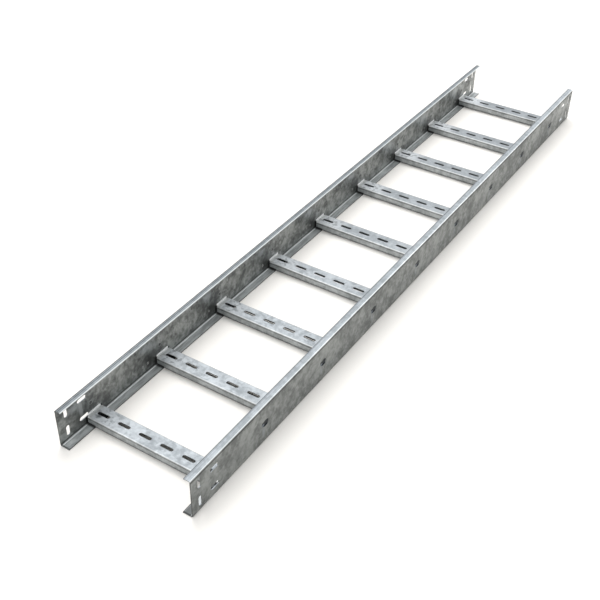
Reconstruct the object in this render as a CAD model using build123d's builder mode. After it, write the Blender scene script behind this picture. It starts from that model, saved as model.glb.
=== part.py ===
"""Cable ladder section: two roll-formed side rails joined by a row of slotted rungs.

X runs across the ladder, Y along it and Z up.  The origin is on the floor, in the middle of the
footprint.  All sizes are in millimetres.
"""

import os

from build123d import *

# Overall size of the section
length = 2000.0
width = 340.0
rail_height = 100.0

# Side rail: a plain C section with its flanges turned inwards, and its bends' inside radius
rail_gauge = 2.0
top_flange = 16.0
foot_flange = 24.0
rail_bend = 2.0

# Rungs: channels with the open side down, standing on the lower flanges of the rails
rung_count = 9
end_rung_setback = 100.0
rung_width = 45.0
rung_height = 20.0
rung_gauge = 2.0
rung_corner = 2.5

# Low lip at each rung end, folded up square from the rung's top against the web of the rail
lip_height = 4.0
lip_inset = 3.5
leg_clearance = 3.5

# Slots in a rung's top, in one row along the rung
rung_slot_count = 6
rung_slot_pitch = 56.0
rung_slot_length = 32.0
rung_slot_width = 8.5

# Splice slots at each rail end: an upright pair, then a level pair further in
splice_slot_length = 26.0
splice_slot_width = 10.0
splice_slot_spacing = 49.0
upright_pair_setback = 25.0
level_pair_setback = 72.0

# Shallow dimples sunk into the web's outer face, one before each rung after the first
dimple_length = 28.0
dimple_width = 14.0
dimple_depth = 1.4
dimple_taper = 55.0
dimple_to_rung = 80.0

# Places and sizes worked out from those above
web_outer = width / 2
web_inner = web_outer - rail_gauge
bend_outside = rail_bend + rail_gauge
rung_top = rail_gauge + rung_height
leg_end = web_inner - leg_clearance
lip_width = rung_width - 2 * lip_inset
lip_depth = rung_gauge + lip_height
last_rung = length / 2 - end_rung_setback
rung_pitch = 2 * last_rung / (rung_count - 1)
rung_places = [number * rung_pitch - last_rung for number in range(rung_count)]
dimple_places = [place - dimple_to_rung for place in rung_places[1:]]
upright_place = length / 2 - upright_pair_setback
level_place = length / 2 - level_pair_setback

# The outer face of the right rail's web, at mid-height; what is drawn on it is cut inwards
outer_face = Plane((web_outer, 0, rail_height / 2), x_dir=(0, -1, 0), z_dir=(-1, 0, 0))


def folded_channel(back, upper, lower, gauge, inside=0.0, outside=0.0):
    """Draw a channel whose back lies on the local Y axis, with its two flanges towards -X.

    The flanges are as long as upper, at the end towards +Y, and lower, at the other end.
    Its two corners are rounded by the inside and outside radii, or left square.
    """
    with BuildSketch() as section:
        Rectangle(gauge, back, align=(Align.MAX, Align.CENTER))
        with Locations((0, back / 2)):
            Rectangle(upper, gauge, align=(Align.MAX, Align.MAX))
        with Locations((0, -back / 2)):
            Rectangle(lower, gauge, align=(Align.MAX, Align.MIN))
        if inside > 0:
            fillet(section.vertices().group_by(Axis.X)[-2], radius=inside)
        if outside > 0:
            fillet(section.vertices().group_by(Axis.X)[-1], radius=outside)
    return section.sketch


def make_rung(place):
    """Make the rung whose middle lies at this place along the ladder."""
    across = Plane((0, place, rung_top), x_dir=(0, 0, 1), z_dir=(1, 0, 0))
    along = Plane((0, place, rung_top - rung_gauge), x_dir=(0, 0, -1), z_dir=(0, 1, 0))
    with BuildPart() as rung:
        # The channel: its legs stop short of the webs
        with BuildSketch(across):
            add(folded_channel(rung_width, rung_height, rung_height, rung_gauge, outside=rung_corner))
        extrude(amount=leg_end, both=True)
        # Its top runs on to the webs and is folded up into a low lip at each end
        with BuildSketch(along):
            add(folded_channel(2 * web_inner, lip_depth, lip_depth, rung_gauge))
        extrude(amount=lip_width / 2, both=True)
        # The row of slots in the top
        with BuildSketch(Plane.XY.offset(rung_top)):
            with Locations((0, place)):
                with GridLocations(rung_slot_pitch, 0, rung_slot_count, 1):
                    SlotOverall(rung_slot_length, rung_slot_width)
        extrude(amount=-rung_gauge, mode=Mode.SUBTRACT)
    return rung.part


os.makedirs("parts", exist_ok=True)

with BuildPart() as rail_right:
    # The C section, standing on its wider flange
    with BuildSketch(Plane((web_outer, 0, rail_height / 2), x_dir=(1, 0, 0), z_dir=(0, -1, 0))):
        add(folded_channel(rail_height, top_flange, foot_flange, rail_gauge, rail_bend, bend_outside))
    extrude(amount=length / 2, both=True)
    # Dimples with sloping sides
    with BuildSketch(outer_face):
        with Locations([(-place, 0) for place in dimple_places]):
            Rectangle(dimple_length, dimple_width)
    extrude(amount=dimple_depth, taper=dimple_taper, mode=Mode.SUBTRACT)
    # Splice slots, the same at both ends
    with BuildSketch(outer_face):
        with GridLocations(2 * upright_place, splice_slot_spacing, 2, 2):
            SlotOverall(splice_slot_length, splice_slot_width, rotation=90)
        with GridLocations(2 * level_place, splice_slot_spacing, 2, 2):
            SlotOverall(splice_slot_length, splice_slot_width)
    extrude(amount=rail_gauge, mode=Mode.SUBTRACT)
rail_right.part.label = "rail_right"
export_step(rail_right.part, "parts/rail_right.step")

# The left rail is the mirror image of the right one across the ladder
with BuildPart() as rail_left:
    mirror(rail_right.part, about=Plane.YZ)
rail_left.part.label = "rail_left"
export_step(rail_left.part, "parts/rail_left.step")

for number, place in enumerate(rung_places, start=1):
    rung = make_rung(place)
    rung.label = f"rung_{number}"
    export_step(rung, f"parts/rung_{number}.step")
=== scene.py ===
"""Looks of a galvanised cable ladder section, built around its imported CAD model.

Everything is in metres, in the model's own frame: X runs across the ladder, Y along it towards
the far end, and Z up from the floor that it lies on.
"""

import logging
import math
from dataclasses import dataclass, field, replace
from enum import Enum
from functools import cached_property
from typing import Dict, List, Sequence, Tuple, Union

import bpy
from mathutils import Matrix, Vector


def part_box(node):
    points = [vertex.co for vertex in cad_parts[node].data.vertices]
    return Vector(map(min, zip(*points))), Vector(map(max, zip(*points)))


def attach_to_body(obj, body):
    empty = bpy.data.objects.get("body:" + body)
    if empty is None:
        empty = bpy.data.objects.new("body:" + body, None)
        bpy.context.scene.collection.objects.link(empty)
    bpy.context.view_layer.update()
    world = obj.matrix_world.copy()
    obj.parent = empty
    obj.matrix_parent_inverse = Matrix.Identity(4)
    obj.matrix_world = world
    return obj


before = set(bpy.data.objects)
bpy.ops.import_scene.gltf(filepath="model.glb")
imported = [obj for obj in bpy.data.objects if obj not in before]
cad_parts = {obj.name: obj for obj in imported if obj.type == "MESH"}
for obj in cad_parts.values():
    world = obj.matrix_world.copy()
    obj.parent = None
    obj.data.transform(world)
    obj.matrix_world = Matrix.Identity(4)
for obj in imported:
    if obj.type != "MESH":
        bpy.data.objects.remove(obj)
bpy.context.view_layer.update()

log = logging.getLogger("cable_ladder")

Pair = Tuple[float, float]
Triple = Tuple[float, float, float]
Colour = Tuple[float, float, float]
Tones = Tuple[Colour, Colour]
Socket = bpy.types.NodeSocket
Feed = Union[Socket, float, int, Sequence[float]]

MM = 0.001

# Colours that several marks share: a deep painted shadow, painted shade and a painted highlight
BLACK: Colour = (0.008, 0.009, 0.008)
RAIL_SHADOW: Colour = (0.035, 0.037, 0.035)
RAIL_SHINE: Colour = (0.86, 0.88, 0.88)
RUNG_SHADOW: Colour = (0.04, 0.042, 0.042)


class Side(Enum):
    """The two rails, with the sign of X that each lies on."""

    LEFT = -1
    RIGHT = 1


class TreeKind(Enum):
    """The kinds of node tree that the groups here are."""

    SHADER = "ShaderNodeTree"
    GEOMETRY = "GeometryNodeTree"


class Port(Enum):
    """The kinds of socket that the node groups here use."""

    NUMBER = "NodeSocketFloat"
    COUNT = "NodeSocketInt"
    VECTOR = "NodeSocketVector"
    MATERIAL = "NodeSocketMaterial"
    GEOMETRY = "NodeSocketGeometry"


class Sketch:
    """Lays nodes down in a node tree and joins them up."""

    def __init__(self, tree: bpy.types.NodeTree) -> None:
        """Start on a tree.

        Args:
            tree: The shader or geometry tree to fill.
        """
        self.tree = tree

    def add(self, kind: str, **settings: object) -> bpy.types.Node:
        """Add a node.

        Args:
            kind: The node's type name.
            settings: Properties of the node to set.

        Returns:
            The new node.
        """
        node = self.tree.nodes.new(kind)
        for name, value in settings.items():
            setattr(node, name, value)
        return node

    def feed(self, socket: Socket, value: Feed) -> None:
        """Link an output to a socket, or set the socket's own value.

        Args:
            socket: The input to feed.
            value: An output socket, or a plain value.
        """
        if isinstance(value, Socket):
            self.tree.links.new(value, socket)
        elif isinstance(value, tuple) and len(value) == 3 and len(socket.default_value) == 4:
            socket.default_value = (*value, 1.0)
        else:
            socket.default_value = value

    def fill(self, node: bpy.types.Node, inputs: Dict[str, Feed]) -> bpy.types.Node:
        """Feed several of a node's inputs by name.

        Args:
            node: The node.
            inputs: What goes into each named input.

        Returns:
            The same node.
        """
        for name, value in inputs.items():
            self.feed(node.inputs[name], value)
        return node

    def math(self, operation: str, *values: Feed) -> Socket:
        """Add a Math node.

        Args:
            operation: The node's operation.
            values: Its operands, in order.

        Returns:
            Its result.
        """
        node = self.add("ShaderNodeMath", operation=operation)
        for socket, value in zip(node.inputs, values):
            self.feed(socket, value)
        return node.outputs[0]

    def step(self, value: Feed, low: float, high: float, start: float = 0.0, end: float = 1.0) -> Socket:
        """Turn a value smoothly from one level to another.

        Args:
            value: What is looked at.
            low: The value at which the turn starts.
            high: The value at which it ends.
            start: The level below low.
            end: The level above high.

        Returns:
            The level.
        """
        node = self.add("ShaderNodeMapRange", interpolation_type="SMOOTHSTEP")
        self.fill(node, {"Value": value, "From Min": low, "From Max": high,
                         "To Min": start, "To Max": end})
        return node.outputs["Result"]

    def mix(self, share: Feed, first: Feed, second: Feed) -> Socket:
        """Mix two colours.

        Args:
            share: How much of the second shows.
            first: The colour underneath.
            second: The colour on top.

        Returns:
            The mixed colour.
        """
        node = self.add("ShaderNodeMix", data_type="RGBA", clamp_factor=True)
        self.feed(node.inputs[0], share)
        self.feed(node.inputs[6], first)
        self.feed(node.inputs[7], second)
        return node.outputs[2]

    def blend(self, share: Feed, first: Feed, second: Feed) -> Socket:
        """Blend two values.

        Args:
            share: How much of the second counts.
            first: The one value.
            second: The other value.

        Returns:
            The value between them.
        """
        node = self.add("ShaderNodeMix", data_type="FLOAT", clamp_factor=True)
        self.feed(node.inputs[0], share)
        self.feed(node.inputs[2], first)
        self.feed(node.inputs[3], second)
        return node.outputs[0]

    def split(self, vector: Feed) -> List[Socket]:
        """Take a vector apart.

        Args:
            vector: The vector.

        Returns:
            Its three coordinates.
        """
        node = self.add("ShaderNodeSeparateXYZ")
        self.feed(node.inputs[0], vector)
        return list(node.outputs)

    def join(self, *values: Feed) -> Socket:
        """Put a vector together.

        Args:
            values: Its three coordinates.

        Returns:
            The vector.
        """
        node = self.add("ShaderNodeCombineXYZ")
        for socket, value in zip(node.inputs, values):
            self.feed(socket, value)
        return node.outputs[0]

    def squeeze(self, vector: Feed, factors: Feed) -> Socket:
        """Squeeze or stretch a vector along its axes.

        Args:
            vector: The vector.
            factors: What each coordinate is multiplied by.

        Returns:
            The changed vector.
        """
        node = self.add("ShaderNodeVectorMath", operation="MULTIPLY")
        self.feed(node.inputs[0], vector)
        self.feed(node.inputs[1], factors)
        return node.outputs["Vector"]

    def noise(self, vector: Feed, size: Feed, detail: float = 2.0, roughness: float = 0.5) -> Socket:
        """Add soft noise.

        Args:
            vector: Where it is read.
            size: How large its patches are.
            detail: How many finer layers it has.
            roughness: How much the finer layers show.

        Returns:
            A value from 0 to 1, about 0.5 on average.
        """
        node = self.add("ShaderNodeTexNoise", noise_dimensions="3D", normalize=True)
        self.fill(node, {"Vector": vector, "Scale": self.math("DIVIDE", 1.0, size),
                         "Detail": detail, "Roughness": roughness})
        return node.outputs["Fac"]

    def call(self, group: bpy.types.NodeTree, **inputs: Feed) -> bpy.types.Node:
        """Place a shader group.

        Args:
            group: The group's tree.
            inputs: What goes into its inputs, with _ for a space in a name.

        Returns:
            The group's node.
        """
        node = self.add("ShaderNodeGroup", node_tree=group)
        return self.fill(node, {name.replace("_", " "): value for name, value in inputs.items()})


@dataclass
class Group:
    """A node group with named inputs and outputs."""

    name: str
    kind: TreeKind
    inputs: Dict[str, Port]
    outputs: Dict[str, Port]
    tree: bpy.types.NodeTree = field(init=False)
    sketch: Sketch = field(init=False)
    entry: bpy.types.Node = field(init=False)
    exit: bpy.types.Node = field(init=False)

    def __post_init__(self) -> None:
        """Make the tree and its sockets."""
        self.tree = bpy.data.node_groups.new(self.name, self.kind.value)
        for direction, ports in (("INPUT", self.inputs), ("OUTPUT", self.outputs)):
            for name, port in ports.items():
                self.tree.interface.new_socket(name, in_out=direction, socket_type=port.value)
        self.sketch = Sketch(self.tree)
        self.entry = self.sketch.add("NodeGroupInput")
        self.exit = self.sketch.add("NodeGroupOutput")

    def given(self, name: str) -> Socket:
        """Return what comes in at a named input."""
        return self.entry.outputs[name]

    def put(self, **results: Feed) -> None:
        """Send results to the outputs of the same names."""
        self.sketch.fill(self.exit, results)

    def identifier(self, name: str) -> str:
        """Return the identifier by which a modifier knows an input."""
        return next(item.identifier for item in self.tree.interface.items_tree
                    if item.name == name and item.in_out == "INPUT")


@dataclass(frozen=True)
class LadderSizes:
    """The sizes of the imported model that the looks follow.

    The lip's height and the upper flange's width can't be read off the boxes, so they are given.
    """

    half_width: float
    half_length: float
    rail_height: float
    web_inner: float
    foot_inner: float
    rung_places: Tuple[float, ...]
    rung_half_width: float
    lip_top: float
    lip_height: float = 4 * MM
    top_flange: float = 16 * MM

    @classmethod
    def read(cls) -> "LadderSizes":
        """Read the sizes off the frame.

        Returns:
            The sizes, in metres.
        """
        rail_low, rail_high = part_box("rail_right")
        count = sum(name.startswith("rung_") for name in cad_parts)
        boxes = [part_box(f"rung_{number}") for number in range(1, count + 1)]
        rung_low, rung_high = boxes[0]
        return cls(
            half_width=rail_high.x,
            half_length=rail_high.y,
            rail_height=rail_high.z,
            web_inner=rung_high.x,
            foot_inner=rail_low.x,
            rung_places=tuple((low.y + high.y) / 2 for low, high in boxes),
            rung_half_width=(rung_high.y - rung_low.y) / 2,
            lip_top=rung_high.z,
        )

    @property
    def gauge(self) -> float:
        """The thickness of a rail's steel."""
        return self.half_width - self.web_inner

    @property
    def head_inner(self) -> float:
        """The distance from the middle to the upper flange's inner edge."""
        return self.half_width - self.top_flange

    @property
    def rung_top(self) -> float:
        """The height of the rungs' tops."""
        return self.lip_top - self.lip_height

    @property
    def pitch(self) -> float:
        """The distance from one rung to the next."""
        return self.rung_places[1] - self.rung_places[0]


@dataclass
class SharedEffects:
    """The node groups that several finishes use, with the sizes and shares of the cloud's layers."""

    warp_scale: float = 45.0
    warp_reach: float = 12 * MM
    drift_patches: float = 3.5
    cell_blur: float = 0.7
    streak_size: float = 11 * MM
    patch_share: float = 0.56
    drift_share: float = 0.24
    cell_share: float = 0.10
    streak_share: float = 0.10
    tone_range: Pair = (0.36, 0.64)
    cloud: bpy.types.NodeTree = field(init=False)
    band: bpy.types.NodeTree = field(init=False)
    row: bpy.types.NodeTree = field(init=False)
    spot: bpy.types.NodeTree = field(init=False)

    def __post_init__(self) -> None:
        """Build each group once."""
        self.cloud = self._cloud()
        self.band = self._band()
        self.row = self._row()
        self.spot = self._spot()

    def _cloud(self) -> bpy.types.NodeTree:
        """Make the cloudy look of zinc: soft patches, spangle cells and slanting streaks.

        Returns:
            A group that puts out the Tone, from 0 to 1, and the Streaks, about 0.5 on average.
        """
        group = Group("zinc_cloud", TreeKind.SHADER,
                      {"Vector": Port.VECTOR, "Patch Size": Port.NUMBER, "Cell Size": Port.NUMBER,
                       "Streak Slant": Port.NUMBER, "Streak Squeeze": Port.VECTOR},
                      {"Tone": Port.NUMBER, "Streaks": Port.NUMBER})
        sketch = group.sketch
        place, patch_size = group.given("Vector"), group.given("Patch Size")
        bend = sketch.add("ShaderNodeTexNoise", noise_dimensions="3D")
        sketch.fill(bend, {"Vector": place, "Scale": self.warp_scale, "Detail": 2.0})
        shift = sketch.add("ShaderNodeVectorMath", operation="MULTIPLY_ADD")
        sketch.feed(shift.inputs[0], bend.outputs["Color"])
        sketch.feed(shift.inputs[1], (self.warp_reach,) * 3)
        sketch.feed(shift.inputs[2], place)
        warped = shift.outputs["Vector"]
        patches = sketch.noise(warped, patch_size, detail=4.0, roughness=0.68)
        drift = sketch.noise(place, sketch.math("MULTIPLY", patch_size, self.drift_patches), detail=1.0)
        cells = sketch.add("ShaderNodeTexVoronoi", voronoi_dimensions="3D", feature="SMOOTH_F1")
        sketch.fill(cells, {"Vector": warped, "Smoothness": self.cell_blur,
                            "Scale": sketch.math("DIVIDE", 1.0, group.given("Cell Size"))})
        turn = sketch.add("ShaderNodeVectorRotate", rotation_type="X_AXIS")
        sketch.fill(turn, {"Vector": warped, "Angle": group.given("Streak Slant")})
        squeezed = sketch.squeeze(turn.outputs["Vector"], group.given("Streak Squeeze"))
        streaks = sketch.noise(squeezed, self.streak_size, detail=3.0, roughness=0.6)
        cell_tone = sketch.split(cells.outputs["Color"])[0]
        layers = ((patches, self.patch_share), (drift, self.drift_share), (cell_tone, self.cell_share),
                  (streaks, self.streak_share))
        tone = 0.0
        for layer, share in layers:
            tone = sketch.math("MULTIPLY_ADD", layer, share, tone)
        group.put(Tone=sketch.step(tone, *self.tone_range), Streaks=streaks)
        return group.tree

    @staticmethod
    def _band() -> bpy.types.NodeTree:
        """Make a soft band about one value.

        Returns:
            A group that puts out a Mask, 1 in the band and 0 beyond its edges.
        """
        group = Group("soft_band", TreeKind.SHADER,
                      {"Value": Port.NUMBER, "Middle": Port.NUMBER, "Half Width": Port.NUMBER,
                       "Edge": Port.NUMBER},
                      {"Mask": Port.NUMBER})
        sketch = group.sketch
        apart = sketch.math("SUBTRACT", group.given("Value"), group.given("Middle"))
        past = sketch.math("SUBTRACT", sketch.math("ABSOLUTE", apart), group.given("Half Width"))
        share = sketch.math("DIVIDE", past, group.given("Edge"))
        group.put(Mask=sketch.step(share, 0.0, 1.0, 1.0, 0.0))
        return group.tree

    @staticmethod
    def _row() -> bpy.types.NodeTree:
        """Measure from the nearest of a row of evenly spaced places.

        Returns:
            A group that puts out the signed Offset from that place, and its Number from 0.
        """
        group = Group("row_of_places", TreeKind.SHADER,
                      {"Value": Port.NUMBER, "First": Port.NUMBER, "Pitch": Port.NUMBER,
                       "Count": Port.NUMBER},
                      {"Offset": Port.NUMBER, "Number": Port.NUMBER})
        sketch = group.sketch
        along = sketch.math("SUBTRACT", group.given("Value"), group.given("First"))
        nearest = sketch.math("ROUND", sketch.math("DIVIDE", along, group.given("Pitch")))
        last = sketch.math("SUBTRACT", group.given("Count"), 1.0)
        number = sketch.math("MINIMUM", sketch.math("MAXIMUM", nearest, 0.0), last)
        offset = sketch.math("SUBTRACT", along, sketch.math("MULTIPLY", number, group.given("Pitch")))
        group.put(Offset=offset, Number=number)
        return group.tree

    @staticmethod
    def _spot() -> bpy.types.NodeTree:
        """Make a soft oval spot.

        Returns:
            A group that puts out a Mask, 1 at the middle and 0 past the radii.
        """
        group = Group("soft_spot", TreeKind.SHADER,
                      {"Across": Port.NUMBER, "Up": Port.NUMBER, "Radius Across": Port.NUMBER,
                       "Radius Up": Port.NUMBER, "Core": Port.NUMBER},
                      {"Mask": Port.NUMBER})
        sketch = group.sketch
        across = sketch.math("DIVIDE", group.given("Across"), group.given("Radius Across"))
        up = sketch.math("DIVIDE", group.given("Up"), group.given("Radius Up"))
        square = sketch.math("MULTIPLY_ADD", across, across, sketch.math("MULTIPLY", up, up))
        past = sketch.math("SUBTRACT", sketch.math("SQRT", square), group.given("Core"))
        share = sketch.math("DIVIDE", past, sketch.math("SUBTRACT", 1.0, group.given("Core")))
        group.put(Mask=sketch.step(share, 0.0, 1.0, 1.0, 0.0))
        return group.tree


@dataclass(frozen=True)
class Tint:
    """A colour laid over the zinc, with how strongly it covers and how metallic it is."""

    colour: Colour
    strength: float
    metallic: float = 0.6

    def at(self, strength: float) -> "Tint":
        """Return the same tint at another strength."""
        return replace(self, strength=strength)


@dataclass(frozen=True)
class Oval:
    """A soft oval mark: its middle and its radii, and the share of the radii that is full."""

    middle: Pair
    radii: Pair
    core: float = 0.2


@dataclass(frozen=True)
class Touch:
    """A tint and the mask that says where it lies."""

    mask: Socket
    tint: Tint


@dataclass(frozen=True)
class Surface:
    """What a finish reads from the surface that it lies on, and the masks that it draws there."""

    sketch: Sketch
    effects: SharedEffects
    sizes: LadderSizes

    @cached_property
    def reading(self) -> bpy.types.Node:
        """The node that reads the surface in the model's own frame."""
        return self.sketch.add("ShaderNodeTexCoord")

    @property
    def place(self) -> Socket:
        """The place of the surface."""
        return self.reading.outputs["Object"]

    @cached_property
    def axes(self) -> List[Socket]:
        """The place across the ladder, along it and above the floor."""
        return self.sketch.split(self.place)

    @property
    def x(self) -> Socket:
        """The place across the ladder, below 0 on the left."""
        return self.axes[0]

    @property
    def along(self) -> Socket:
        """The place along the ladder."""
        return self.axes[1]

    @property
    def height(self) -> Socket:
        """The height above the floor."""
        return self.axes[2]

    @cached_property
    def across(self) -> Socket:
        """The distance from the ladder's middle line, the same on both sides."""
        return self.sketch.math("ABSOLUTE", self.x)

    @cached_property
    def row(self) -> bpy.types.Node:
        """The group that finds the nearest rung."""
        return self.sketch.call(self.effects.row, Value=self.along, First=self.sizes.rung_places[0],
                                Pitch=self.sizes.pitch, Count=float(len(self.sizes.rung_places)))

    @property
    def offset(self) -> Socket:
        """The distance along the ladder from the nearest rung, below 0 before it."""
        return self.row.outputs["Offset"]

    @property
    def number(self) -> Socket:
        """The number of the nearest rung, from 0 at the near end."""
        return self.row.outputs["Number"]

    @cached_property
    def inner_face(self) -> Socket:
        """A mask for all that lies within the outer faces of the webs."""
        return self.below(self.across, self.sizes.web_inner + 0.2 * MM, edge=0.3 * MM)

    @cached_property
    def rung_face(self) -> Socket:
        """A mask for the rungs' tops and lips."""
        return self.above(self.height, self.sizes.rung_top - 1 * MM, edge=0.5 * MM)

    def all_of(self, *masks: Socket) -> Socket:
        """Multiply masks.

        Args:
            masks: One mask or more.

        Returns:
            A mask that is 1 only where all of them are.
        """
        result = masks[0]
        for mask in masks[1:]:
            result = self.sketch.math("MULTIPLY", result, mask)
        return result

    def above(self, value: Socket, level: float, edge: float) -> Socket:
        """Return a mask that is 1 above a level and 0 a soft edge below it."""
        return self.sketch.step(value, level - edge, level)

    def below(self, value: Socket, level: float, edge: float) -> Socket:
        """Return a mask that is 1 below a level and 0 a soft edge above it."""
        return self.sketch.step(value, level, level + edge, 1.0, 0.0)

    def band(self, value: Socket, middle: float, half: float, edge: float) -> Socket:
        """Return a mask for a soft band about a value."""
        return self.sketch.call(self.effects.band, Value=value, Middle=middle, Half_Width=half,
                                Edge=edge).outputs["Mask"]

    def spot(self, across: Socket, up: Socket, oval: Oval, origin: Pair = (0.0, 0.0)) -> Socket:
        """Draw a soft oval mark.

        Args:
            across: The one coordinate.
            up: The other coordinate.
            oval: The mark.
            origin: The point in those two that its middle is measured from.

        Returns:
            Its mask.
        """
        sketch = self.sketch
        return sketch.call(self.effects.spot,
                           Across=sketch.math("SUBTRACT", across, origin[0] + oval.middle[0]),
                           Up=sketch.math("SUBTRACT", up, origin[1] + oval.middle[1]),
                           Radius_Across=oval.radii[0], Radius_Up=oval.radii[1],
                           Core=oval.core).outputs["Mask"]

    def growing(self, first: float, full_at: float) -> Socket:
        """Grow a share along the row of rungs.

        Args:
            first: The share at the first rung.
            full_at: The number of the rung from which it is 1.

        Returns:
            The share.
        """
        return self.sketch.step(self.number, 0.0, full_at, first, 1.0)

    def lay(self, tint: Tint, *masks: Socket) -> Touch:
        """Lay a tint where all of its masks are 1."""
        return Touch(self.all_of(*masks), tint)


@dataclass(frozen=True)
class ZincFinish:
    """Hot-dip galvanised steel: a cloudy grey, painted lighter where it lies level, as painted light from
    above.
    """

    effects: SharedEffects
    sizes: LadderSizes
    name: str
    upright: Tones
    # The tones where the surface lies level: lighter, as painted light from above
    flat: Tones
    flat_from: float = 0.9
    flat_edge: float = 0.35
    patch: float = 28 * MM
    cell: float = 7 * MM
    slant: float = 0.6
    squeeze: Triple = (1.0, 1.0, 0.3)
    metallic: float = 0.6
    metallic_swing: float = 0.05
    smooth: float = 0.38
    rough: float = 0.52
    relief: float = 0.05 * MM
    relief_strength: float = 0.6

    def build(self) -> bpy.types.Material:
        """Build the material.

        Returns:
            The material, ready for a slot.
        """
        material = bpy.data.materials.new(self.name)
        material.use_nodes = True
        material.node_tree.nodes.clear()
        sketch = Sketch(material.node_tree)
        surface = Surface(sketch, self.effects, self.sizes)
        cloud = sketch.call(self.effects.cloud, Vector=surface.place, Patch_Size=self.patch,
                            Cell_Size=self.cell, Streak_Slant=self.slant, Streak_Squeeze=self.squeeze)
        tone = cloud.outputs["Tone"]
        upward = sketch.split(surface.reading.outputs["Normal"])[2]
        # Faces that lie level take the lighter tones: painted light falling from above
        lying = surface.above(upward, self.flat_from, self.flat_edge)
        colour = sketch.mix(lying, sketch.mix(tone, *self.upright), sketch.mix(tone, *self.flat))
        metallic = sketch.step(tone, 0.0, 1.0, self.metallic - self.metallic_swing,
                               self.metallic + self.metallic_swing)
        for touch in self.touches(surface):
            share = sketch.math("MULTIPLY", touch.mask, touch.tint.strength)
            colour = sketch.mix(share, colour, touch.tint.colour)
            metallic = sketch.blend(share, metallic, touch.tint.metallic)
        bump = sketch.add("ShaderNodeBump")
        sketch.fill(bump, {"Height": cloud.outputs["Streaks"], "Distance": self.relief,
                           "Strength": self.relief_strength})
        shader = sketch.add("ShaderNodeBsdfPrincipled")
        sketch.fill(shader, {
            "Base Color": colour,
            "Metallic": metallic,
            "Roughness": sketch.step(tone, 0.0, 1.0, self.rough, self.smooth),
            "Normal": bump.outputs["Normal"],
        })
        output = sketch.add("ShaderNodeOutputMaterial")
        sketch.feed(output.inputs["Surface"], shader.outputs["BSDF"])
        return material

    def touches(self, surface: Surface) -> List[Touch]:
        """List the touches that only this finish has, from the lowest to the top one."""
        return []


@dataclass(frozen=True)
class BeadFinish(ZincFinish):
    """The zinc of the beads and the press marks, with finer patches."""

    name: str = "galvanised_bead"
    upright: Tones = ((0.20, 0.205, 0.20), (0.34, 0.345, 0.34))
    flat: Tones = ((0.28, 0.285, 0.28), (0.42, 0.43, 0.42))
    patch: float = 8 * MM


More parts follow.
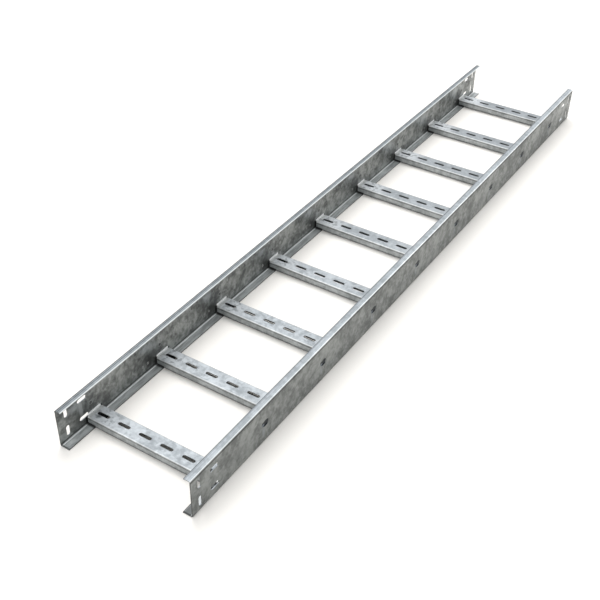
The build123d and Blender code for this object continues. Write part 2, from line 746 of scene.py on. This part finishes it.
@dataclass(frozen=True)
class RailFinish(ZincFinish):
    """The rails' zinc, with painted highlights along the edges and painted shade in the folds and at the
    rung ends.
    """

    # The web's inner face, beside each rung end: painted shade and shadow, a painted reflection above, and
    # a pale streak before the first rung
    pocket: Tint = Tint(RAIL_SHADOW, 0.68)
    # A pale streak on the web before the first rung
    smear: Tint = Tint((0.45, 0.46, 0.46), 0.0)
    glint: Tint = Tint((0.42, 0.44, 0.45), 0.45)
    # Painted shadow on the web behind each rung end
    gap: Tint = Tint(BLACK, 1.0, 0.0)
    # A small spot of painted shade by each press mark
    dot: Tint = Tint(RAIL_SHADOW, 0.95, 0.1)
    # The lower flange, lightened as painted light, with painted highlights and painted shade along it,
    # painted shade in the fold above it, and the rail's near end darkened
    # The lower flange's face, lightened as painted light; much lighter on the right rail, as a painted
    # reflection of the sky
    foot_face: Tint = Tint((0.60, 0.615, 0.605), 0.7, 0.3)
    foot_grain: Tint = Tint((0.16, 0.165, 0.165), 0.45)
    foot_tip: Tint = Tint(RAIL_SHADOW, 0.0)
    foot_splash: Tint = Tint((0.80, 0.81, 0.80), 0.0)
    foot_fold: Tint = Tint(RAIL_SHADOW, 0.95, 0.3)
    foot_bend: Tint = Tint((0.95, 0.96, 0.96), 0.95, 0.0)
    foot_rim: Tint = Tint(RAIL_SHINE, 0.2)
    foot_edge: Tint = Tint(RAIL_SHADOW, 0.75)
    foot_contact: Tint = Tint(BLACK, 0.85, 0.0)
    web_cut: Tint = Tint(RAIL_SHADOW, 0.75)
    foot_cut: Tint = Tint(RAIL_SHADOW, 0.7)
    foot_skirt: Tint = Tint(RAIL_SHADOW, 0.6)
    # The upper flange and the web just below it, with painted highlights and painted shade on its edges
    # and bends
    head_crease: Tint = Tint((0.10, 0.11, 0.12), 0.75)
    head_line: Tint = Tint((0.22, 0.24, 0.26), 0.5)
    head_corner: Tint = Tint(RAIL_SHADOW, 0.0)
    head_edge: Tint = Tint((0.78, 0.80, 0.80), 0.8, 0.1)
    head_bend: Tint = Tint(RAIL_SHINE, 0.0, 0.2)
    web_line: Tint = Tint(RAIL_SHADOW, 0.85)
    # The dimples in the web's outer face: painted shade in each, a painted highlight on one side and a
    # pale streak below
    dimple: Tint = Tint((0.015, 0.018, 0.022), 1.0, 1.0)
    dimple_glint: Tint = Tint((0.22, 0.26, 0.30), 0.6, 0.3)
    dimple_run: Tint = Tint((0.33, 0.37, 0.40), 0.35)
    # The grain of the lower flange
    grain_squeeze: Triple = (1.0, 0.12, 1.0)
    grain_size: float = 5 * MM
    grain_range: Pair = (0.42, 0.62)
    # The oval marks, by the distance past the nearest rung and the height; the pale streak is at the first
    # one
    pocket_oval: Oval = Oval((-36 * MM, 30 * MM), (34 * MM, 36 * MM))
    smear_oval: Oval = Oval((-34 * MM, 50 * MM), (8 * MM, 46 * MM), core=0.3)
    glint_oval: Oval = Oval((-54 * MM, 68 * MM), (26 * MM, 13 * MM))
    dot_oval: Oval = Oval((-5 * MM, 48 * MM), (4.4 * MM, 5.0 * MM), core=0.7)
    # The pale spot, from the flange's near corner
    splash_oval: Oval = Oval((24 * MM, 11 * MM), (10 * MM, 8 * MM))
    # The dimples' marks: the distance past the nearest rung, and the height above the web's middle
    dimple_oval: Oval = Oval((-80 * MM, 0.0), (13 * MM, 9.5 * MM), core=0.8)
    dimple_glint_oval: Oval = Oval((-87 * MM, -3 * MM), (6 * MM, 4 * MM), core=0.4)
    dimple_run_oval: Oval = Oval((-88 * MM, -20 * MM), (6 * MM, 15 * MM), core=0.3)

    @classmethod
    def for_side(cls, side: Side, effects: SharedEffects, sizes: LadderSizes) -> "RailFinish":
        """Make the finish of one rail.

        Args:
            side: Which rail.
            effects: The shared node groups.
            sizes: The model's sizes.

        Returns:
            The finish.
        """
        # Most of what differs between the two rails is painted light and shade, as the light falls
        # differently on each
        if side is Side.LEFT:
            return cls(
                effects, sizes, "galvanised_left_rail",
                upright=((0.078, 0.082, 0.080), (0.325, 0.340, 0.330)),
                flat=((0.27, 0.29, 0.305), (0.40, 0.425, 0.445)),
                smear=cls.smear.at(0.5),
                foot_splash=cls.foot_splash.at(0.5),
                head_corner=cls.head_corner.at(0.9),
            )
        return cls(
            effects, sizes, "galvanised_right_rail",
            upright=((0.115, 0.121, 0.118), (0.265, 0.278, 0.270)),
            flat=((0.37, 0.395, 0.415), (0.58, 0.61, 0.64)),
            foot_face=Tint((0.84, 0.85, 0.84), 0.7, 0.3),
            foot_grain=cls.foot_grain.at(0.1),
            foot_tip=cls.foot_tip.at(0.75),
            head_crease=cls.head_crease.at(0.14),
            head_edge=Tint((0.13, 0.14, 0.15), 0.9, 0.1),
            head_bend=cls.head_bend.at(0.7),
        )

    def touches(self, surface: Surface) -> List[Touch]:
        """List the rail's fine lines, painted highlights, painted shade and marks, from the lowest to the
        top one.
        """
        return self.ends(surface) + self.foot(surface) + self.head(surface) + self.dimples(surface)

    def ends(self, surface: Surface) -> List[Touch]:
        """Paint shade and shadow on the inner face beside the rung ends, a painted reflection above each,
        and a pale streak before the first rung.

        Args:
            surface: What the finish reads.

        Returns:
            The touches.
        """
        sizes, inner = surface.sizes, surface.inner_face
        offset, height = surface.offset, surface.height
        first_rung = (sizes.rung_places[0], 0.0)
        smear = surface.spot(surface.along, height, self.smear_oval, first_rung)
        # Painted shadow on the web, seen past each rung end
        gap = surface.band(offset, 0.0, half=sizes.rung_half_width + 2.4 * MM, edge=1.2 * MM)
        up_to_rung = surface.below(height, sizes.rung_top + 1 * MM, edge=1 * MM)
        return [
            # Painted shade beside each rung end
            surface.lay(self.pocket, inner, surface.spot(offset, height, self.pocket_oval)),
            surface.lay(self.smear, inner, smear),
            # A painted reflection above each rung end
            surface.lay(self.glint, inner, surface.spot(offset, height, self.glint_oval)),
            surface.lay(self.gap, inner, gap, up_to_rung),
            surface.lay(self.dot, inner, surface.spot(offset, height, self.dot_oval)),
        ]

    def foot(self, surface: Surface) -> List[Touch]:
        """Paint the lower flange lighter, with painted highlights, painted shade and shadow along it and
        in the fold above it, and darken the rail's near end.

        Args:
            surface: What the finish reads.

        Returns:
            The touches.
        """
        sketch, sizes = surface.sketch, surface.sizes
        along, across, height = surface.along, surface.across, surface.height
        near_end = -sizes.half_length
        low = surface.below(height, 3 * MM, edge=0.5 * MM)
        face = surface.all_of(low, surface.below(across, sizes.web_inner, edge=1 * MM))
        grain = sketch.noise(sketch.squeeze(surface.place, self.grain_squeeze), self.grain_size,
                             detail=3.0, roughness=0.6)
        tip = surface.below(along, near_end + 26 * MM, edge=6 * MM)
        splash = surface.spot(along, across, self.splash_oval, (near_end, sizes.foot_inner))
        fold = surface.band(height, 5.6 * MM, half=1.1 * MM, edge=1.0 * MM)
        bend = surface.band(across, sizes.web_inner - 2.6 * MM, half=1.0 * MM, edge=0.7 * MM)
        rim = surface.band(across, sizes.foot_inner + 1.8 * MM, half=0.5 * MM, edge=0.8 * MM)
        edge = surface.below(across, sizes.foot_inner + 1.0 * MM, edge=0.8 * MM)
        contact = surface.band(surface.offset, 0.0, half=sizes.rung_half_width + 1.5 * MM, edge=5 * MM)
        end_face = surface.below(along, near_end + 0.5 * MM, edge=0.4 * MM)
        web = surface.above(across, sizes.web_inner - 1 * MM, edge=0.6 * MM)
        below_head = surface.below(height, sizes.rail_height - 3 * MM, edge=1 * MM)
        foot_end = surface.below(along, near_end + 2.4 * MM, edge=1.2 * MM)
        by_floor = surface.below(height, 3.2 * MM, edge=1.2 * MM)
        outside = surface.above(across, sizes.half_width - 2.5 * MM, edge=1 * MM)
        # Painted light on the flange's face; painted highlights on its bend and rim; painted shade at its
        # tip and edge, in the fold, by the rungs and by the floor
        return [
            surface.lay(self.foot_face, face),
            surface.lay(self.foot_grain, face, sketch.step(grain, *self.grain_range)),
            surface.lay(self.foot_tip, face, tip),
            # A pale spot near the left flange's near end
            surface.lay(self.foot_splash, face, splash),
            surface.lay(self.foot_fold, surface.inner_face, fold),
            surface.lay(self.foot_bend, low, bend),
            surface.lay(self.foot_rim, low, rim),
            surface.lay(self.foot_edge, low, edge),
            surface.lay(self.foot_contact, face, contact),
            surface.lay(self.web_cut, end_face, web, below_head),
            surface.lay(self.foot_cut, low, foot_end),
            surface.lay(self.foot_skirt, by_floor, outside),
        ]

    def head(self, surface: Surface) -> List[Touch]:
        """Draw the upper flange's fine lines, with painted highlights and painted shade on its edges and
        bends and a painted shade line under its outer bend.

        Args:
            surface: What the finish reads.

        Returns:
            The touches.
        """
        sizes, across, height = surface.sizes, surface.across, surface.height
        middle = (sizes.head_inner + sizes.half_width) / 2
        high = surface.above(height, sizes.rail_height - 1.6 * MM, edge=0.5 * MM)
        crease = surface.band(across, middle + 0.4 * MM, half=0.8 * MM, edge=0.9 * MM)
        line = surface.band(across, sizes.head_inner + 3.6 * MM, half=0.4 * MM, edge=0.7 * MM)
        shoulder = surface.above(height, sizes.rail_height - 3 * MM, edge=0.5 * MM)
        corner = surface.above(across, sizes.half_width - 3.6 * MM, edge=1.2 * MM)
        edge = surface.below(across, sizes.head_inner + 1.6 * MM, edge=1.0 * MM)
        bend = surface.band(across, sizes.half_width - 1.3 * MM, half=0.6 * MM, edge=0.6 * MM)
        outer_face = surface.above(across, sizes.half_width - 0.1 * MM, edge=0.2 * MM)
        under_bend = surface.band(height, sizes.rail_height - 5.4 * MM, half=1.4 * MM, edge=1.2 * MM)
        return [
            surface.lay(self.head_crease, high, crease),
            surface.lay(self.head_line, high, line),
            # Painted shade on the left rail's outer corner; the inner edge painted light on the left rail
            # and shaded on the right; a painted highlight on the right rail's outer bend
            surface.lay(self.head_corner, shoulder, corner),
            surface.lay(self.head_edge, high, edge),
            surface.lay(self.head_bend, high, bend),
            # A line of painted shade on the outer face, under the upper bend
            surface.lay(self.web_line, outer_face, under_bend),
        ]

    def dimples(self, surface: Surface) -> List[Touch]:
        """Paint shade in the dimples of the outer face, a painted highlight on one side of each and a pale
        streak below.

        Args:
            surface: What the finish reads.

        Returns:
            The touches.
        """
        outer_face = surface.sketch.math("SUBTRACT", 1.0, surface.inner_face)
        past_first = surface.above(surface.along, surface.sizes.rung_places[0] + 40 * MM, edge=1 * MM)
        web_middle = (0.0, surface.sizes.rail_height / 2)
        marks = ((self.dimple, self.dimple_oval), (self.dimple_glint, self.dimple_glint_oval),
                 (self.dimple_run, self.dimple_run_oval))
        # Painted shade in each of the dimples, a painted highlight on one side and a pale streak below
        return [surface.lay(tint, outer_face, past_first,
                            surface.spot(surface.offset, surface.height, oval, web_middle))
                for tint, oval in marks]


@dataclass(frozen=True)
class RungFinish(ZincFinish):
    """The rungs' zinc, with painted highlights along the front bend and the lips, and painted shade inside
    and at the foot.
    """

    name: str = "galvanised_rung"
    upright: Tones = ((0.27, 0.285, 0.285), (0.49, 0.51, 0.515))
    flat: Tones = ((0.36, 0.385, 0.405), (0.65, 0.68, 0.705))
    patch: float = 18 * MM
    slant: float = 0.0
    squeeze: Triple = (0.25, 1.0, 1.0)
    metallic: float = 0.45
    # The top: painted shade growing towards the far rungs, painted light by the left rail, and stained
    # there
    far: Tint = Tint((0.30, 0.315, 0.33), 0.6)
    pale: Tint = Tint((0.90, 0.92, 0.94), 0.8, 0.3)
    stain: Tint = Tint((0.13, 0.145, 0.155), 0.5)
    # Painted shade and shadow on the front, the inside and where the rungs stand on the rails
    corner: Tint = Tint(RUNG_SHADOW, 0.4)
    hollow: Tint = Tint((0.20, 0.21, 0.21), 0.7, 0.1)
    foot: Tint = Tint(RUNG_SHADOW, 0.55)
    fold: Tint = Tint(RUNG_SHADOW, 0.5)
    seat: Tint = Tint(BLACK, 0.95, 0.0)
    # The bends and the ends with their lips: a darker back bend, a painted reflection of the web near the
    # ends, painted highlights on the front bend and the lips; and the dark spots on the first rung
    back: Tint = Tint((0.20, 0.21, 0.22), 0.5)
    end: Tint = Tint((0.52, 0.51, 0.48), 0.45)
    bend: Tint = Tint((0.92, 0.93, 0.92), 0.65)
    lip: Tint = Tint((0.92, 0.91, 0.88), 0.95, 0.0)
    rim: Tint = Tint((1.0, 1.0, 1.0), 1.0, 0.0)
    smudge: Tint = Tint((0.12, 0.13, 0.13), 0.7)
    # The stain's blotches, and the dark spot's oval from the web and the rung's middle line
    blotch_size: float = 11 * MM
    blotch_range: Pair = (0.50, 0.62)
    smudge_oval: Oval = Oval((-22 * MM, -6 * MM), (9 * MM, 10 * MM))

    def touches(self, surface: Surface) -> List[Touch]:
        """List the rung's tones with their painted light and shade, the painted highlights on bends and
        lips, and the dark spots on the first rung, from the lowest to the top one.
        """
        return self.tops(surface) + self.sides(surface) + self.edges(surface)

    def tops(self, surface: Surface) -> List[Touch]:
        """Paint shade on the rungs' tops towards the far end, paint light on their left ends, and stain
        those ends.

        Args:
            surface: What the finish reads.

        Returns:
            The touches.
        """
        sketch, top = surface.sketch, surface.rung_face
        left_web = -surface.sizes.web_inner
        pale_end = surface.below(surface.x, left_web + 40 * MM, edge=60 * MM)
        stained_end = surface.below(surface.x, left_web + 45 * MM, edge=40 * MM)
        blotches = sketch.noise(surface.place, self.blotch_size, detail=3.0)
        return [
            # Painted shade growing towards the far end, as the light falls off
            surface.lay(self.far, top, surface.growing(first=0.0, full_at=8.0)),
            # Painted light on the left ends, which the left rail shades
            surface.lay(self.pale, top, pale_end, surface.growing(first=0.35, full_at=7.0)),
            surface.lay(self.stain, top, stained_end, sketch.step(blotches, *self.blotch_range)),
        ]

    def sides(self, surface: Surface) -> List[Touch]:
        """Paint shade and shadow on the rungs' sides and insides.

        Args:
            surface: What the finish reads.

        Returns:
            The touches.
        """
        sizes, x, offset, height = surface.sizes, surface.x, surface.offset, surface.height
        front = surface.below(offset, -sizes.rung_half_width + 0.6 * MM, edge=0.4 * MM)
        by_right_rail = surface.above(x, sizes.head_inner - 6 * MM, edge=14 * MM)
        between_legs = surface.band(offset, 0.0, half=sizes.rung_half_width - 1.2 * MM, edge=0.3 * MM)
        under_top = surface.below(height, sizes.rung_top - 1.2 * MM, edge=0.3 * MM)
        fold = surface.band(height, sizes.rung_top - 4.6 * MM, half=1.0 * MM, edge=1.4 * MM)
        on_left_rail = surface.below(x, -sizes.foot_inner, edge=2 * MM)
        seat = surface.below(height, sizes.gauge + 3.5 * MM, edge=2.5 * MM)
        # Painted shade on the front by the right rail, inside, at the foot and under the front bend;
        # painted shadow where the rungs stand on the left rail
        return [
            surface.lay(self.corner, front, by_right_rail),
            surface.lay(self.hollow, between_legs, under_top),
            surface.lay(self.foot, surface.below(height, sizes.gauge + 2.0 * MM, edge=2.4 * MM)),
            surface.lay(self.fold, front, fold),
            surface.lay(self.seat, on_left_rail, seat),
        ]

    def edges(self, surface: Surface) -> List[Touch]:
        """Paint highlights on the front bends and the lips, and put dark spots on the first rung's ends.

        Args:
            surface: What the finish reads.

        Returns:
            The touches.
        """
        sizes, across = surface.sizes, surface.across
        offset, height = surface.offset, surface.height
        back = surface.above(offset, sizes.rung_half_width - 1.2 * MM, edge=0.8 * MM)
        back_bend = surface.above(height, sizes.rung_top - 1.5 * MM, edge=0.8 * MM)
        end = surface.above(across, sizes.web_inner - 8 * MM, edge=6 * MM)
        front = surface.below(offset, -sizes.rung_half_width + 1.5 * MM, edge=0.6 * MM)
        front_bend = surface.above(height, sizes.rung_top - 1.3 * MM, edge=0.7 * MM)
        first_rung = surface.below(surface.number, 0.4, edge=0.2)
        smudge = surface.spot(across, offset, self.smudge_oval, (sizes.web_inner, 0.0))
        return [
            surface.lay(self.back, back, back_bend),
            # A painted reflection of the web on the tops near the ends
            surface.lay(self.end, end, surface.rung_face),
            # Painted highlights on the front bend, then on the lips' faces and tops
            surface.lay(self.bend, front, front_bend, surface.growing(first=0.6, full_at=3.0)),
            surface.lay(self.lip, surface.above(height, sizes.rung_top + 0.5 * MM, edge=0.3 * MM)),
            surface.lay(self.rim, surface.above(height, sizes.lip_top - 1.8 * MM, edge=0.5 * MM)),
            # A dark spot near each end of the first rung
            surface.lay(self.smudge, first_rung, smudge),
        ]


def lay_points(group: Group, start: str) -> Socket:
    """Lay a row of points along the ladder.

    Args:
        group: A geometry tree with a Count and a Pitch among its inputs.
        start: The input that holds the first point.

    Returns:
        The points.
    """
    line = group.sketch.add("GeometryNodeMeshLine", mode="OFFSET")
    group.sketch.fill(line, {"Count": group.given("Count"), "Start Location": group.given(start),
                             "Offset": group.sketch.join(0.0, group.given("Pitch"), 0.0)})
    return line.outputs["Mesh"]


def copy_to_points(group: Group, points: Socket, shape: Socket, **pose: Feed) -> None:
    """End a geometry tree with real copies of a shape, in the tree's material.

    Args:
        group: A geometry tree with a Material among its inputs.
        points: Where the copies go.
        shape: The mesh to copy.
        pose: The copies' Rotation or Scale.
    """
    sketch = group.sketch
    copies = sketch.add("GeometryNodeInstanceOnPoints")
    sketch.fill(copies, {"Points": points, "Instance": shape, **pose})
    real = sketch.add("GeometryNodeRealizeInstances")
    sketch.fill(real, {"Geometry": copies.outputs["Instances"]})
    dressed = sketch.add("GeometryNodeSetMaterial")
    sketch.fill(dressed, {"Geometry": real.outputs["Geometry"], "Material": group.given("Material")})
    group.put(Geometry=dressed.outputs["Geometry"])


@dataclass
class PressMarks:
    """The small pressed rims on a rail's web, one above each rung end."""

    sizes: LadderSizes
    side: Side
    radius: float = 4.8 * MM
    rim: float = 0.5 * MM
    height: float = 48 * MM
    setback: float = 5 * MM
    facets: int = 16
    rim_facets: int = 6

    def tree(self) -> Group:
        """Make the tree for a row of small rims that lie against a web.

        Returns:
            The group, with named inputs for its sizes.
        """
        group = Group("press_mark_row", TreeKind.GEOMETRY,
                      {"Count": Port.COUNT, "First": Port.VECTOR, "Pitch": Port.NUMBER,
                       "Radius": Port.NUMBER, "Rim": Port.NUMBER, "Material": Port.MATERIAL},
                      {"Geometry": Port.GEOMETRY})
        sketch = group.sketch
        ring = sketch.add("GeometryNodeCurvePrimitiveCircle")
        sketch.fill(ring, {"Resolution": self.facets, "Radius": group.given("Radius")})
        wire = sketch.add("GeometryNodeCurvePrimitiveCircle")
        sketch.fill(wire, {"Resolution": self.rim_facets, "Radius": group.given("Rim")})
        rim = sketch.add("GeometryNodeCurveToMesh")
        sketch.fill(rim, {"Curve": ring.outputs["Curve"], "Profile Curve": wire.outputs["Curve"]})
        copy_to_points(group, lay_points(group, "First"), rim.outputs["Mesh"],
                       Rotation=(0.0, math.pi / 2, 0.0))
        return group

    def build(self, material: bpy.types.Material) -> bpy.types.Object:
        """Build the row of rims on this side.

        Args:
            material: The finish that they take.

        Returns:
            The piece.
        """
        sizes = self.sizes
        first = (self.side.value * sizes.web_inner, sizes.rung_places[0] - self.setback, self.height)
        return realise(f"press_marks_{self.side.name.lower()}", self.tree(), {
            "Count": len(sizes.rung_places), "First": first, "Pitch": sizes.pitch,
            "Radius": self.radius, "Rim": self.rim, "Material": material,
        })


@dataclass
class ZincBeads:
    """The pairs of small zinc beads at a web's foot, before each rung after the first."""

    sizes: LadderSizes
    side: Side
    radius: float = 3.4 * MM
    height: float = 24 * MM
    setbacks: Pair = (66 * MM, 49 * MM)
    flatness: Triple = (0.45, 1.0, 1.15)
    segments: int = 12
    rings: int = 8
    scales: Pair = (0.75, 1.15)
    seed: int = 4

    def tree(self) -> Group:
        """Make the tree for two rows of flattened beads that lie against a web.

        Returns:
            The group, with named inputs for its sizes.
        """
        group = Group("bead_row", TreeKind.GEOMETRY,
                      {"Count": Port.COUNT, "Outer": Port.VECTOR, "Inner": Port.VECTOR,
                       "Pitch": Port.NUMBER, "Radius": Port.NUMBER, "Flatness": Port.VECTOR,
                       "Material": Port.MATERIAL},
                      {"Geometry": Port.GEOMETRY})
        sketch = group.sketch
        rows = sketch.add("GeometryNodeJoinGeometry")
        for start in ("Outer", "Inner"):
            sketch.feed(rows.inputs["Geometry"], lay_points(group, start))
        bead = sketch.add("GeometryNodeMeshUVSphere")
        sketch.fill(bead, {"Segments": self.segments, "Rings": self.rings,
                           "Radius": group.given("Radius")})
        size = sketch.add("FunctionNodeRandomValue", data_type="FLOAT")
        sketch.feed(size.inputs[2], self.scales[0])
        sketch.feed(size.inputs[3], self.scales[1])
        sketch.feed(size.inputs["Seed"], self.seed)
        scale = sketch.add("ShaderNodeVectorMath", operation="SCALE")
        sketch.feed(scale.inputs[0], group.given("Flatness"))
        sketch.feed(scale.inputs["Scale"], size.outputs[1])
        copy_to_points(group, rows.outputs["Geometry"], bead.outputs["Mesh"],
                       Scale=scale.outputs["Vector"])
        return group

    def build(self, material: bpy.types.Material) -> bpy.types.Object:
        """Build the beads on this side.

        Args:
            material: The finish that they take.

        Returns:
            The piece.
        """
        sizes = self.sizes
        across = self.side.value * sizes.web_inner
        outer, inner = [(across, sizes.rung_places[1] - setback, self.height) for setback in self.setbacks]
        return realise(f"zinc_beads_{self.side.name.lower()}", self.tree(), {
            "Count": len(sizes.rung_places) - 1, "Outer": outer, "Inner": inner, "Pitch": sizes.pitch,
            "Radius": self.radius, "Flatness": self.flatness, "Material": material,
        })


def realise(name: str, group: Group, inputs: Dict[str, object]) -> bpy.types.Object:
    """Run a geometry tree and keep what it makes as a plain mesh.

    Args:
        name: The piece's name.
        group: The tree.
        inputs: Values for its named inputs.

    Returns:
        An object at the origin that holds the finished mesh.
    """
    piece = bpy.data.objects.new(name, bpy.data.meshes.new(name))
    bpy.context.scene.collection.objects.link(piece)
    modifier = piece.modifiers.new(name, "NODES")
    modifier.node_group = group.tree
    for label, value in inputs.items():
        modifier[group.identifier(label)] = value
    bpy.context.view_layer.update()
    evaluated = piece.evaluated_get(bpy.context.evaluated_depsgraph_get())
    mesh = bpy.data.meshes.new_from_object(evaluated)
    piece.modifiers.remove(modifier)
    piece.data = mesh
    mesh.name = name
    return piece


@dataclass
class SideRail:
    """One side rail, with the small marks on its web."""

    sizes: LadderSizes
    side: Side

    def dress(self, finish: bpy.types.Material, raised: bpy.types.Material) -> None:
        """Give the rail its finish and add its marks.

        Args:
            finish: The rail's zinc.
            raised: The zinc of what stands proud of the web.
        """
        name = f"rail_{self.side.name.lower()}"
        wear(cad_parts[name], finish)
        log.info("%s: dressed in %s", name, finish.name)
        attach(PressMarks(self.sizes, self.side).build(raised), "galvanised_rail")
        attach(ZincBeads(self.sizes, self.side).build(raised), "galvanised_rail")


@dataclass
class RungRow:
    """The rungs, from the near end to the far one."""

    sizes: LadderSizes

    def dress(self, finish: bpy.types.Material) -> None:
        """Give every rung its finish.

        Args:
            finish: The rungs' zinc.
        """
        for number in range(1, len(self.sizes.rung_places) + 1):
            wear(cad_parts[f"rung_{number}"], finish)
            log.info("rung_%d: dressed in %s", number, finish.name)


def wear(node: bpy.types.Object, finish: bpy.types.Material) -> None:
    """Put a finish in every material slot of a node.

    Args:
        node: The object.
        finish: Its material.
    """
    if not node.material_slots:
        node.data.materials.append(finish)
    for slot in node.material_slots:
        slot.material = finish


def attach(piece: bpy.types.Object, slot: str) -> None:
    """Fix a piece to the section and log the slot that it takes its finish from.

    Args:
        piece: The finished piece.
        slot: The record's material slot.
    """
    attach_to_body(piece, "root")
    log.info("%s: %d faces, slot %s", piece.name, len(piece.data.polygons), slot)


@dataclass(frozen=True)
class Softbox:
    """A soft rectangular light that faces the ladder, and which kinds of light it gives."""

    name: str
    place: Triple
    size: Pair
    power: float
    diffuse: bool = True
    glossy: bool = True

    def hang(self) -> bpy.types.Object:
        """Hang the light.

        Returns:
            The light.
        """
        lamp = bpy.data.lights.new(self.name, "AREA")
        lamp.shape = "RECTANGLE"
        lamp.size, lamp.size_y = self.size
        lamp.energy = self.power
        light = bpy.data.objects.new(self.name, lamp)
        light.location = self.place
        light.rotation_euler = (-Vector(self.place)).to_track_quat("-Z", "Y").to_euler()
        light.visible_diffuse = self.diffuse
        light.visible_glossy = self.glossy
        bpy.context.scene.collection.objects.link(light)
        return light


@dataclass(frozen=True)
class Studio:
    """The pale floor, the soft lights and the camera."""

    lights: Tuple[Softbox, ...] = (
        Softbox("key_light", (-2.9, 5.1, 9.6), (8.5, 7.0), 820.0, glossy=False),
        Softbox("front_glint", (-2.4, -3.4, 3.9), (2.4, 1.6), 70.0, diffuse=False),
        Softbox("side_glint", (3.4, 4.0, 2.4), (2.6, 1.4), 90.0, diffuse=False),
    )
    floor_half: float = 30.0
    floor_colour: Colour = (0.95, 0.91, 0.865)
    floor_roughness: float = 0.9
    floor_specular: float = 0.1
    horizon: Colour = (0.60, 0.625, 0.64)
    zenith: Colour = (0.97, 1.0, 1.02)
    zenith_from: float = 0.9
    sky_strength: float = 1.05
    heading: float = math.radians(-32.07)
    pitch: float = math.radians(37.48)
    roll: float = math.radians(1.07)
    station: Triple = (0.9753, -1.9172, 1.4494)
    focal_px: float = 968.9
    image_px: float = 600.0
    sensor_mm: float = 36.0

    def build(self) -> None:
        """Set the stage, in order."""
        self.floor()
        self.sky()
        for light in self.lights:
            light.hang()
        self.camera()
        view = bpy.context.scene.view_settings
        view.view_transform = "Standard"
        view.look = "None"

    def floor(self) -> None:
        """Lay the floor."""
        half = self.floor_half
        mesh = bpy.data.meshes.new("studio_floor")
        mesh.from_pydata([(-half, -half, 0.0), (half, -half, 0.0), (half, half, 0.0), (-half, half, 0.0)],
                         [], [(0, 1, 2, 3)])
        floor = bpy.data.objects.new("studio_floor", mesh)
        bpy.context.scene.collection.objects.link(floor)
        material = bpy.data.materials.new("pale_floor")
        material.use_nodes = True
        shader = material.node_tree.nodes["Principled BSDF"]
        shader.inputs["Base Color"].default_value = (*self.floor_colour, 1.0)
        shader.inputs["Roughness"].default_value = self.floor_roughness
        shader.inputs["Specular IOR Level"].default_value = self.floor_specular
        mesh.materials.append(material)

    def sky(self) -> None:
        """Light the scene evenly from a pale sky that darkens towards the horizon."""
        world = bpy.data.worlds.new("studio_sky")
        bpy.context.scene.world = world
        world.use_nodes = True
        world.node_tree.nodes.clear()
        sketch = Sketch(world.node_tree)
        up = sketch.split(sketch.add("ShaderNodeTexCoord").outputs["Generated"])[2]
        background = sketch.add("ShaderNodeBackground")
        colour = sketch.mix(sketch.step(up, 0.0, self.zenith_from), self.horizon, self.zenith)
        sketch.fill(background, {"Color": colour, "Strength": self.sky_strength})
        output = sketch.add("ShaderNodeOutputWorld")
        sketch.feed(output.inputs["Surface"], background.outputs["Background"])

    def camera(self) -> None:
        """Stand the camera where the photograph was taken from."""
        sin, cos = math.sin, math.cos
        forward = Vector((sin(self.heading) * cos(self.pitch), cos(self.heading) * cos(self.pitch),
                          -sin(self.pitch)))
        level = Vector((cos(self.heading), -sin(self.heading), 0.0))
        upright = level.cross(forward)
        right = cos(self.roll) * level + sin(self.roll) * upright
        up = cos(self.roll) * upright - sin(self.roll) * level
        lens = bpy.data.cameras.new("camera")
        lens.sensor_fit = "HORIZONTAL"
        lens.sensor_width = self.sensor_mm
        lens.lens = self.focal_px / self.image_px * self.sensor_mm
        camera = bpy.data.objects.new("camera", lens)
        turn = Matrix((right, up, -forward)).transposed().to_4x4()
        camera.matrix_world = Matrix.Translation(self.station) @ turn
        bpy.context.scene.collection.objects.link(camera)
        bpy.context.scene.camera = camera


def main() -> None:
    """Set the stage and dress the ladder, piece by piece."""
    logging.basicConfig(level=logging.INFO, format="%(name)s: %(message)s")
    sizes = LadderSizes.read()
    effects = SharedEffects()
    Studio().build()
    raised = BeadFinish(effects, sizes).build()
    for side in Side:
        SideRail(sizes, side).dress(RailFinish.for_side(side, effects, sizes).build(), raised)
    RungRow(sizes).dress(RungFinish(effects, sizes).build())


if __name__ == "__main__":
    main()
